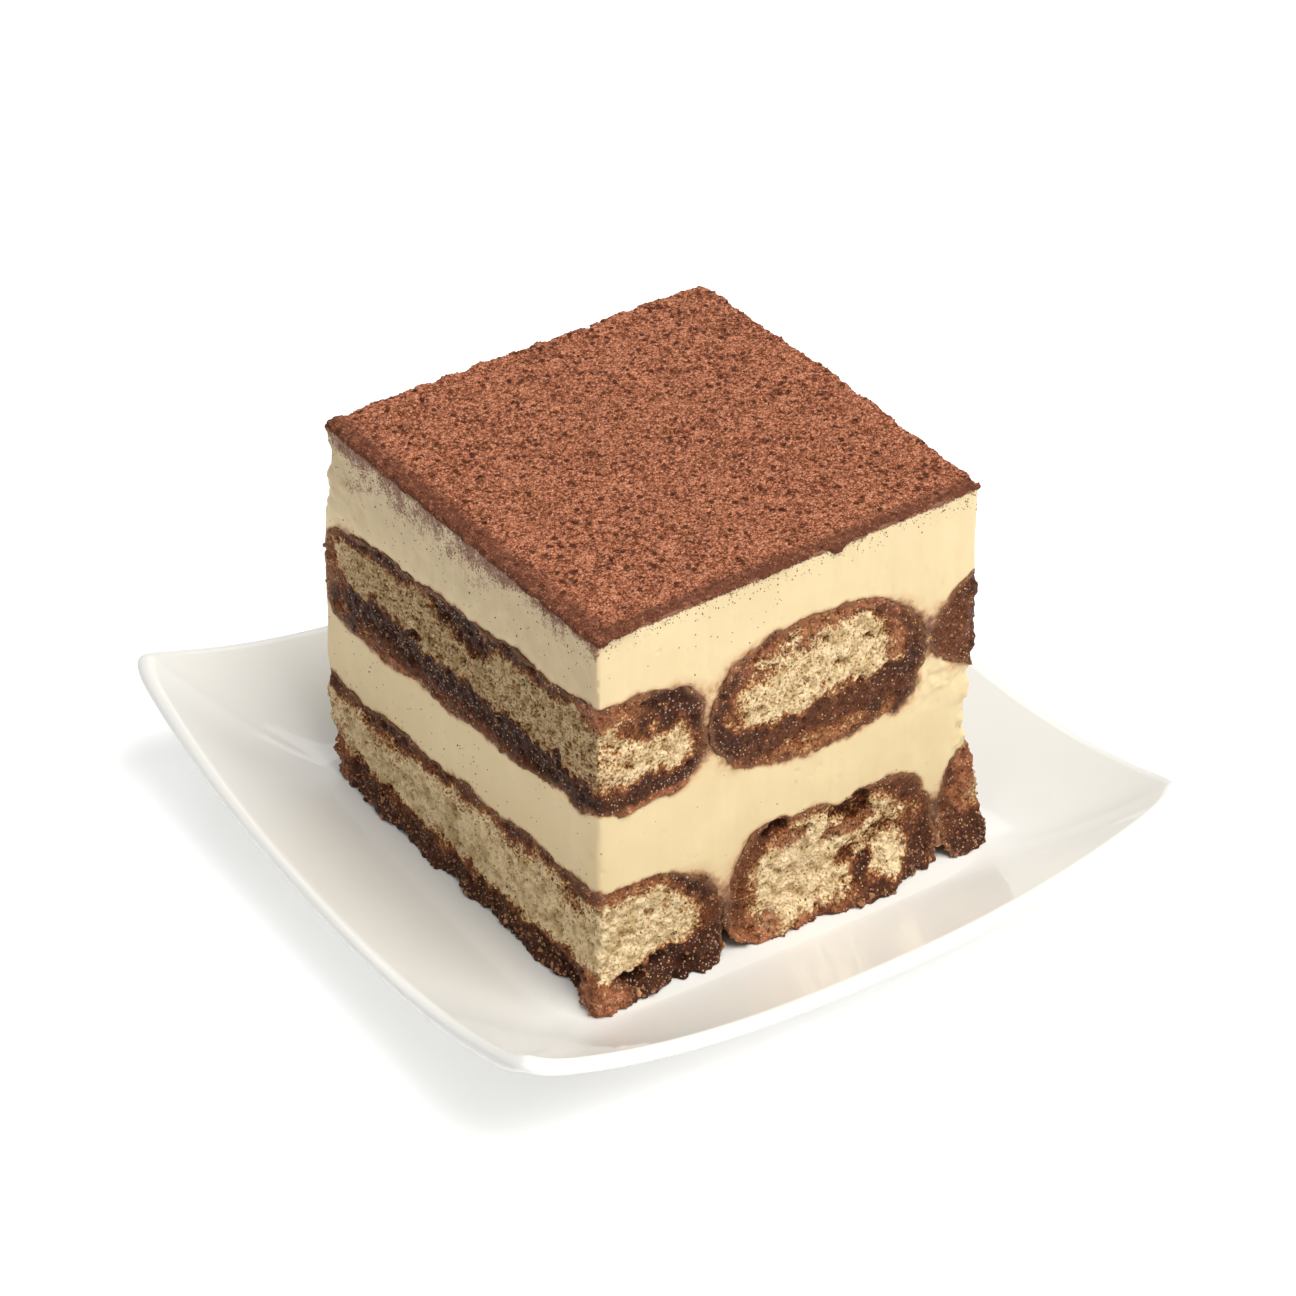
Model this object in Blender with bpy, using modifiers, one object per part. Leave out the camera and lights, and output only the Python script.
"""A square portion of tiramisu on a small square porcelain plate.

The portion is two layers of soaked sponge fingers and two layers of mascarpone
cream, under a layer of cocoa. The fingers run along the cake's own Y axis, so
its front and back faces cut them across and its side faces cut them along.

Frame: metres, +Z up. The origin is the middle of the plate's foot, on the
table. X and Y follow the plate's sides. The cake stands a little turned.
"""

import math
from collections import namedtuple

import bmesh
import bpy
from mathutils import Matrix

MM = 0.001
GAP = 0.3 * MM                   # clearance kept between solids that touch
EPSILON = 0.001 * MM

# ---- Plate -----------------------------------------------------------------
WELL_HEIGHT = 5.5 * MM           # table to the flat well that carries the cake
PLATE_THICKNESS = 3.9 * MM
RIM_HALF = 56.4 * MM             # half the plate's side, to the rim's outside
SIDE_BOW = 0.5 * MM              # how far the middle of each side bows out
WELL_HALF = 38.0 * MM            # half the side of the flat well
CREST_INSET = 1.4 * MM           # rim's crest to the rim's outside
RIM_THICKNESS = 1.9 * MM
RIM_RISE_MIDDLE = 7.1 * MM       # crest above the well, at the middle of a side
RIM_RISE_CORNER = 16.4 * MM      # crest above the well, at a corner
CORNER_SWEEP = 2.45              # how late along a side the rim turns up
CORNER_EASE = 0.03               # blunts the turn of the crest at a corner
FLANGE_CURVE = 1.3               # 1 is a straight flange, more is a deeper dish
RIM_SQUARENESS = 28.0            # superellipse power of the rim's outline
WELL_SQUARENESS = 7.5            # and of the well's
FOOT_HALF = 31.0 * MM            # the foot is a square ring
FOOT_WIDTH = 2.6 * MM
FOOT_SLOPE = 1.4 * MM            # its two sides slope by this, for the mould
PLATE_STEPS = 64                 # points round the plate
CORNER_CROWDING = 0.8            # 0 spreads them evenly, 1 heaps them at corners

# ---- Cake block ------------------------------------------------------------
CAKE_TURN = 2.65                 # degrees about +Z, against the plate
CAKE_AT = (-0.6 * MM, -0.7 * MM)
CAKE_WIDTH = 64.0 * MM           # X, across the fingers
CAKE_DEPTH = 66.4 * MM           # Y, along the fingers
CAKE_HEIGHT = 62.0 * MM
SIDE = CAKE_WIDTH / 2
FRONT = CAKE_DEPTH / 2
FLARE_HEIGHT = 7.0 * MM          # the soaked base is pressed out below this
FLARE_CURVE = 1.5                # 1 is a straight flare, more hugs the plate
CUT_MARGIN = 2.0 * MM            # how far the cutting block passes the top
SLAB_MARGIN = 10.0 * MM          # how far an uncut layer passes the block
# Outlines as (place, reach beyond the nominal face), all in mm. The base bulges
# most in the middle of each finger. The back was the tin's side, where cream
# and finger tips bulge. On the right the base finger is torn, and the face
# swells a little behind its front edge.
BASE_FRONT = ((-32, 0.4), (-24, 1.5), (-16, 2.6), (-9, 0.8), (4, 1.8), (16, 3.0), (25, 1.6), (32, 2.2))
BASE_LEFT = ((-33, 0.2), (-20, 1.4), (4, 0.8), (20, 1.2), (33, 0.2))
BACK_REACH = ((0, 1.8), (3, 1.4), (8, 1.3), (14, 3.0), (20, 3.8), (27, 3.2),
              (38, 2.9), (44, 1.6), (50, 0.5), (56, -0.5), (62, 0.5))
BACK_FADE = 0.7                  # share of the back's bulge lost by the right
RIGHT_REACH = ((0, 3.2), (3, 3.6), (10, 2.6), (17, 1.2), (21, 0.1), (30, 0.4),
               (40, 0.7), (50, 0.4), (62, 0.2))
RIGHT_SWELL = ((-33, 0.0), (-20, 0.8), (4, 1.6), (20, 1.5), (33, 1.3))

# ---- Layers, as heights above the cake's base ------------------------------
CREAM_SPLIT = 39.6 * MM          # the two creams meet here, between fingers
CREAM_FOOT = 9.5 * MM            # lowest cream, in the furrows between fingers
COCOA_FOOT = 60.6 * MM
COCOA_ROLL = 0.3 * MM            # height of its gentle unevenness
COCOA_EDGE_DROP = 0.25 * MM      # how far it slopes off at its edges
COCOA_RAGGEDNESS = 0.35 * MM
COCOA_CELLS = 16

# ---- Sponge fingers (mm) ---------------------------------------------------
# centre, half_width: place and size across the cake. widest: height of the
# widest level. rise, drop: from there to the top and to the base. lean: how
# much lower the right flank is than the middle. fall: how much lower the
# finger lies at the back. crown, sole: 2 is round, more is flatter. tip: where
# its own rounded end lies at the back; a finger with no tip there is cut.
Finger = namedtuple("Finger", "name centre half_width widest rise drop lean fall"
                              " crown sole tip phase")
UPPER_FINGERS = (
    Finger("upper_finger_1", -32.9, 18.7, 40.0, 10.4, 7.9, 0.0, 4.6, 3.0, 3.5, 36.6, 0.4),
    Finger("upper_finger_2", 4.9, 18.7, 40.0, 11.6, 11.2, 0.9, 3.6, 2.1, 2.5, 36.2, 2.1),
    Finger("upper_finger_3", 43.0, 18.7, 39.6, 10.8, 10.0, 0.0, 3.9, 2.0, 2.0, 36.6, 4.0),
)
LOWER_FINGERS = (
    Finger("lower_finger_1", -30.2, 19.3, 5.0, 14.8, 7.0, 0.0, 3.0, 2.3, 4.0, None, 1.2),
    Finger("lower_finger_2", 8.2, 18.7, 5.0, 13.6, 7.0, 1.2, 2.6, 3.0, 4.0, None, 3.3),
    Finger("lower_finger_3", 46.0, 18.7, 5.0, 14.2, 7.0, 0.0, 2.8, 4.0, 4.0, None, 5.2),
)
TIP_LENGTH = 9.0                 # over which a finger rounds off to its tip
TIP_ANGLES = (28, 52, 72)        # where the rounding is sampled, in degrees
TIP_END_SHARE = 0.12             # share of the section left at the blunt end
OVERRUN = 8.0                    # how far a cut finger passes the block
RIPPLE = 0.5                     # unevenness of a finger's size along it
RIPPLE_ACROSS = 0.3              # share of it that shows in the width
RIPPLE_LENGTH = 17.0
SECTION_SIDES = 24
STRAIGHT_RINGS = 11

# ---- Colours (linear RGB) --------------------------------------------------
PORCELAIN = (0.78, 0.77, 0.72)
SPONGE = (0.42, 0.27, 0.14)
CREAM = (0.80, 0.66, 0.40)
COCOA = (0.26, 0.09, 0.05)


def clear_scene():
    for old in list(bpy.data.objects):
        bpy.data.objects.remove(old, do_unlink=True)


def make_collection(name):
    collection = bpy.data.collections.new(name)
    bpy.context.scene.collection.children.link(collection)
    return collection


def make_material(name, colour, roughness):
    material = bpy.data.materials.new(name)
    material.use_nodes = True
    shader = material.node_tree.nodes["Principled BSDF"]
    shader.inputs["Base Color"].default_value = (*colour, 1.0)
    shader.inputs["Roughness"].default_value = roughness
    shader.inputs["Metallic"].default_value = 0.0
    return material


def object_from(mesh_work, name, collection, material=None, parent=None):
    mesh = bpy.data.meshes.new(name)
    mesh_work.normal_update()
    bmesh.ops.recalc_face_normals(mesh_work, faces=mesh_work.faces)
    if mesh_work.calc_volume(signed=True) < 0:
        bmesh.ops.reverse_faces(mesh_work, faces=mesh_work.faces)
    mesh_work.to_mesh(mesh)
    mesh_work.free()
    made = bpy.data.objects.new(name, mesh)
    if material:
        mesh.materials.append(material)
    collection.objects.link(made)
    made.parent = parent
    return made


def make_cutter(made):
    made.hide_render = True
    made.display_type = "WIRE"
    return made


def add_boolean(target, operation, tool):
    cut = target.modifiers.new(f"{operation.lower()} {tool.name}", "BOOLEAN")
    cut.operation = operation
    cut.object = tool
    cut.solver = "EXACT"


def between(pairs, x):
    """Read a value off a few (x, value) pairs, straight from one to the next."""
    for (x0, y0), (x1, y1) in zip(pairs, pairs[1:]):
        if x <= x1:
            share = max(0.0, (x - x0) / (x1 - x0))
            return y0 + (y1 - y0) * share
    return pairs[-1][1]


# ---- The plate: a turned profile, squared up -------------------------------
def flange_point(share):
    """Half-size and share of the rim's rise, part of the way up the flange."""
    crest = RIM_HALF - CREST_INSET
    return WELL_HALF + (crest - WELL_HALF) * share, share ** FLANGE_CURVE


def plate_profile():
    """(half-size, height over the well, share of the rim's rise) of each ring,
    from the middle of the top, over the rim, to the middle of the underside."""
    thick = PLATE_THICKNESS
    rim = RIM_THICKNESS
    profile = [(0.0, 0.0, 0.0), (0.5 * WELL_HALF, 0.0, 0.0), (WELL_HALF, 0.0, 0.0)]
    for share in (0.15, 0.35, 0.6, 0.85, 1.0):
        half, rise = flange_point(share)
        profile.append((half, 0.0, rise))
    # Rounded edge: (share of the inset, share of the rim's thickness) down it.
    for inset, down in ((0.5, 0.04), (0.14, 0.24), (0.0, 0.47), (0.1, 0.76), (0.43, 1.0)):
        profile.append((RIM_HALF - inset * CREST_INSET, -down * rim, 1.0))
    for share in (0.8, 0.35):
        half, rise = flange_point(share)
        profile.append((half, -thick + (thick - rim) * share, rise))
    profile.append((FOOT_HALF + FOOT_SLOPE, -thick, 0.0))
    profile.append((FOOT_HALF, -WELL_HEIGHT, 0.0))
    profile.append((FOOT_HALF - FOOT_WIDTH, -WELL_HEIGHT, 0.0))
    profile.append((FOOT_HALF - FOOT_WIDTH - FOOT_SLOPE, -thick, 0.0))
    profile.append((0.0, -thick, 0.0))
    return profile


def squared(half, angle):
    """The point in a direction on a rounded square of the given half-size."""
    angle += CORNER_CROWDING / 4 * math.sin(4 * angle)
    c = abs(math.cos(angle))
    s = abs(math.sin(angle))
    well_to_rim = min(1.0, max(0.0, (half - WELL_HALF) / (RIM_HALF - WELL_HALF)))
    power = WELL_SQUARENESS + (RIM_SQUARENESS - WELL_SQUARENESS) * well_to_rim
    reach = half * (c ** power + s ** power) ** (-1 / power)
    along = min(c, s) / max(c, s)
    reach *= 1 + SIDE_BOW / RIM_HALF * (1 - along ** 2)
    return reach * math.cos(angle), reach * math.sin(angle), along


def make_plate(collection):
    profile = plate_profile()
    line = bmesh.new()
    points = [line.verts.new((half, 0, index * MM)) for index, (half, _, _) in enumerate(profile)]
    for upper, lower in zip(points, points[1:]):
        line.edges.new((upper, lower))
    rough = object_from(line, "plate_profile", collection)
    turn = rough.modifiers.new("turn", "SCREW")
    turn.steps = PLATE_STEPS
    turn.render_steps = PLATE_STEPS
    turn.use_merge_vertices = True
    turn.merge_threshold = 0.0001
    turned = bpy.data.meshes.new_from_object(rough.evaluated_get(bpy.context.evaluated_depsgraph_get()))
    bpy.data.objects.remove(rough, do_unlink=True)

    shape = bmesh.new()
    shape.from_mesh(turned)
    bpy.data.meshes.remove(turned)
    for vertex in shape.verts:
        half, height, lift = profile[round(vertex.co.z / MM)]
        x, y, along = squared(half, math.atan2(vertex.co.y, vertex.co.x))
        swept = 1 - math.hypot(1 - along, CORNER_EASE)
        rise = RIM_RISE_MIDDLE + (RIM_RISE_CORNER - RIM_RISE_MIDDLE) * max(0, swept) ** CORNER_SWEEP
        vertex.co = (x, y, WELL_HEIGHT + height + lift * rise)
    plate = object_from(shape, "plate", collection, make_material("porcelain", PORCELAIN, 0.12))
    plate.data.shade_smooth()
    plate.data.set_sharp_from_angle(angle=math.radians(50))
    return plate


# ---- The block that every layer is cut to ----------------------------------
def back_face(x, height):
    """Y of the portion's back face at a place on it."""
    fade = 1 - BACK_FADE * (x + SIDE) / CAKE_WIDTH
    return FRONT + between(BACK_REACH, height / MM) * fade * MM


def right_face(y, height):
    """X of the portion's right face at a place on it."""
    swell = between(RIGHT_SWELL, y / MM) * height / CAKE_HEIGHT
    return SIDE + (between(RIGHT_REACH, height / MM) + swell) * MM


def make_block(collection, parent):
    """The portion's outer shape, a little taller than the cake."""
    block = bmesh.new()
    bmesh.ops.create_cube(block, size=1.0)
    tall = CAKE_HEIGHT + CUT_MARGIN
    bmesh.ops.transform(block, matrix=Matrix.Diagonal((CAKE_WIDTH, CAKE_DEPTH, tall, 1)), verts=block.verts)
    bmesh.ops.translate(block, vec=(0, 0, tall / 2), verts=block.verts)
    levels = {height for height, _ in BACK_REACH + RIGHT_REACH}
    for normal, places in (((0, 0, 1), levels - {0}),
                           ((1, 0, 0), {x for x, _ in BASE_FRONT[1:-1]}),
                           ((0, 1, 0), {y for y, _ in BASE_LEFT[1:-1]})):
        for place in sorted(places):
            bmesh.ops.bisect_plane(block, geom=block.verts[:] + block.edges[:] + block.faces[:],
                                   plane_co=[place * MM * part for part in normal], plane_no=normal)
    for vertex in block.verts:
        x, y, height = vertex.co
        flare = max(0.0, 1 - height / FLARE_HEIGHT) ** FLARE_CURVE
        if abs(x + SIDE) < EPSILON:
            vertex.co.x = -SIDE - between(BASE_LEFT, y / MM) * MM * flare
        if abs(x - SIDE) < EPSILON:
            vertex.co.x = right_face(y, height)
        if abs(y + FRONT) < EPSILON:
            vertex.co.y = -FRONT - between(BASE_FRONT, x / MM) * MM * flare
        if abs(y - FRONT) < EPSILON:
            vertex.co.y = back_face(x, height)
    return make_cutter(object_from(block, "block", collection, parent=parent))


# ---- Sponge fingers --------------------------------------------------------
def finger_rings(finger, grow):
    """(place along the cake, share of the full section) of each ring."""
    front = -FRONT / MM - OVERRUN
    if finger.tip is None:
        back = FRONT / MM + OVERRUN
        tips = []
    else:
        back = finger.tip - TIP_LENGTH
        reach = TIP_LENGTH + grow
        tips = [(back + reach * math.sin(math.radians(a)), math.cos(math.radians(a)))
                for a in TIP_ANGLES]
        tips.append((back + reach, TIP_END_SHARE))
    straight = [(front + (back - front) * step / STRAIGHT_RINGS, 1.0)
                for step in range(STRAIGHT_RINGS + 1)]
    return straight + tips


def rounded(value, power):
    return math.copysign(abs(value) ** (2 / power), value)


def make_finger(finger, collection, parent, material=None, grow=0.0):
    """One finger; grown by a gap, it is the bed that the cream leaves for it."""
    rings = finger_rings(finger, grow)
    spans = len(rings) - 1
    log = bmesh.new()
    bmesh.ops.create_cone(log, cap_ends=True, segments=SECTION_SIDES,
                          radius1=1, radius2=1, depth=1)
    sides = [edge for edge in log.edges if abs(edge.verts[0].co.z - edge.verts[1].co.z) > 0.5]
    bmesh.ops.subdivide_edges(log, edges=sides, cuts=spans - 1, use_grid_fill=True)
    for vertex in log.verts:
        along, size = rings[round((vertex.co.z + 0.5) * spans)]
        power = finger.crown if vertex.co.y > 0 else finger.sole
        turn = math.atan2(vertex.co.y, vertex.co.x)
        across = rounded(math.cos(turn), power)
        up = rounded(math.sin(turn), power)
        ripple = RIPPLE * math.sin(2 * math.pi * along / RIPPLE_LENGTH + finger.phase)
        half_width = finger.half_width + RIPPLE_ACROSS * ripple + grow
        half_height = (finger.rise if up > 0 else finger.drop) + ripple + grow
        x = finger.centre + half_width * across * size
        level = finger.widest - finger.lean * across - finger.fall * (along + FRONT / MM) * MM / CAKE_DEPTH
        z = level + half_height * up * size
        vertex.co = (x * MM, along * MM, z * MM)
    made = object_from(log, finger.name if not grow else f"bed_of_{finger.name}",
                       collection, material, parent)
    return made


# ---- Cream and cocoa -------------------------------------------------------
def make_slab(name, low, high, collection, parent, material):
    """A plain slab, wider than the cake, between two heights."""
    slab = bmesh.new()
    bmesh.ops.create_cube(slab, size=1.0)
    size = (CAKE_WIDTH + 2 * SLAB_MARGIN, CAKE_DEPTH + 2 * SLAB_MARGIN, high - low, 1)
    bmesh.ops.transform(slab, matrix=Matrix.Diagonal(size), verts=slab.verts)
    bmesh.ops.translate(slab, vec=(0, 0, (low + high) / 2), verts=slab.verts)
    return object_from(slab, name, collection, material, parent)


def roll(x, y):
    """Gentle unevenness, about -1 to 1, over a level surface (x, y in mm)."""
    broad = math.sin(x / 9.1 + 1.3) * math.cos(y / 11.7)
    fine = math.sin((x + y) / 4.3) * math.cos((x - 2 * y) / 6.1 + 0.5)
    return 0.6 * broad + 0.4 * fine


def make_cocoa(collection, parent, material):
    """A thin slab with an uneven top, soft edges and a slightly ragged outline."""
    layer = bmesh.new()
    cells = COCOA_CELLS
    bmesh.ops.create_grid(layer, x_segments=cells, y_segments=cells, size=1.0)
    top = layer.faces[:]
    grown = bmesh.ops.extrude_face_region(layer, geom=top)
    lower = [item for item in grown["geom"] if isinstance(item, bmesh.types.BMVert)]
    under = [item for item in grown["geom"] if isinstance(item, bmesh.types.BMFace)]
    marked = set(lower)
    for vertex in layer.verts:
        u, v = vertex.co.x, vertex.co.y
        y = -FRONT + (back_face(u * SIDE, CAKE_HEIGHT) + FRONT) * (v + 1) / 2
        x = -SIDE + (right_face(y, CAKE_HEIGHT) + SIDE) * (u + 1) / 2
        if abs(u) > 0.99:
            x += COCOA_RAGGEDNESS * (roll(y / MM * 2.3, 4.0) - 0.6) * math.copysign(1, u)
        if abs(v) > 0.99:
            y += COCOA_RAGGEDNESS * (roll(7.0, x / MM * 2.3) - 0.6) * math.copysign(1, v)
        edge = max(0.0, max(abs(u), abs(v)) - 0.8) / 0.2
        top_height = CAKE_HEIGHT + COCOA_ROLL * roll(x / MM, y / MM) - COCOA_EDGE_DROP * edge ** 2
        vertex.co = (x, y, COCOA_FOOT if vertex in marked else top_height)
    bmesh.ops.dissolve_faces(layer, faces=under)
    return object_from(layer, "cocoa_layer", collection, material, parent)


def main():
    clear_scene()
    portion = make_collection("tiramisu_portion")
    cutters = make_collection("cutters")
    make_plate(portion)

    turn = bpy.data.objects.new("cake_turn", None)
    portion.objects.link(turn)
    turn.location = (*CAKE_AT, WELL_HEIGHT + GAP)
    turn.rotation_euler = (0, 0, math.radians(CAKE_TURN))

    sponge = make_material("soaked_sponge", SPONGE, 0.8)
    cream = make_material("mascarpone_cream", CREAM, 0.5)
    cocoa = make_material("cocoa_powder", COCOA, 0.95)
    block = make_block(cutters, turn)

    beds = {}
    for finger in UPPER_FINGERS + LOWER_FINGERS:
        made = make_finger(finger, portion, turn, sponge)
        add_boolean(made, "INTERSECT", block)
        bed = make_finger(finger, cutters, turn, grow=GAP / MM)
        beds[finger.name] = make_cutter(bed)

    middle = make_slab("cream_middle", CREAM_FOOT, CREAM_SPLIT - GAP, portion, turn, cream)
    add_boolean(middle, "INTERSECT", block)
    for finger in UPPER_FINGERS + LOWER_FINGERS:
        add_boolean(middle, "DIFFERENCE", beds[finger.name])

    top = make_slab("cream_top", CREAM_SPLIT, COCOA_FOOT - GAP, portion, turn, cream)
    add_boolean(top, "INTERSECT", block)
    for finger in UPPER_FINGERS:
        add_boolean(top, "DIFFERENCE", beds[finger.name])

    make_cocoa(portion, turn, cocoa)


main()
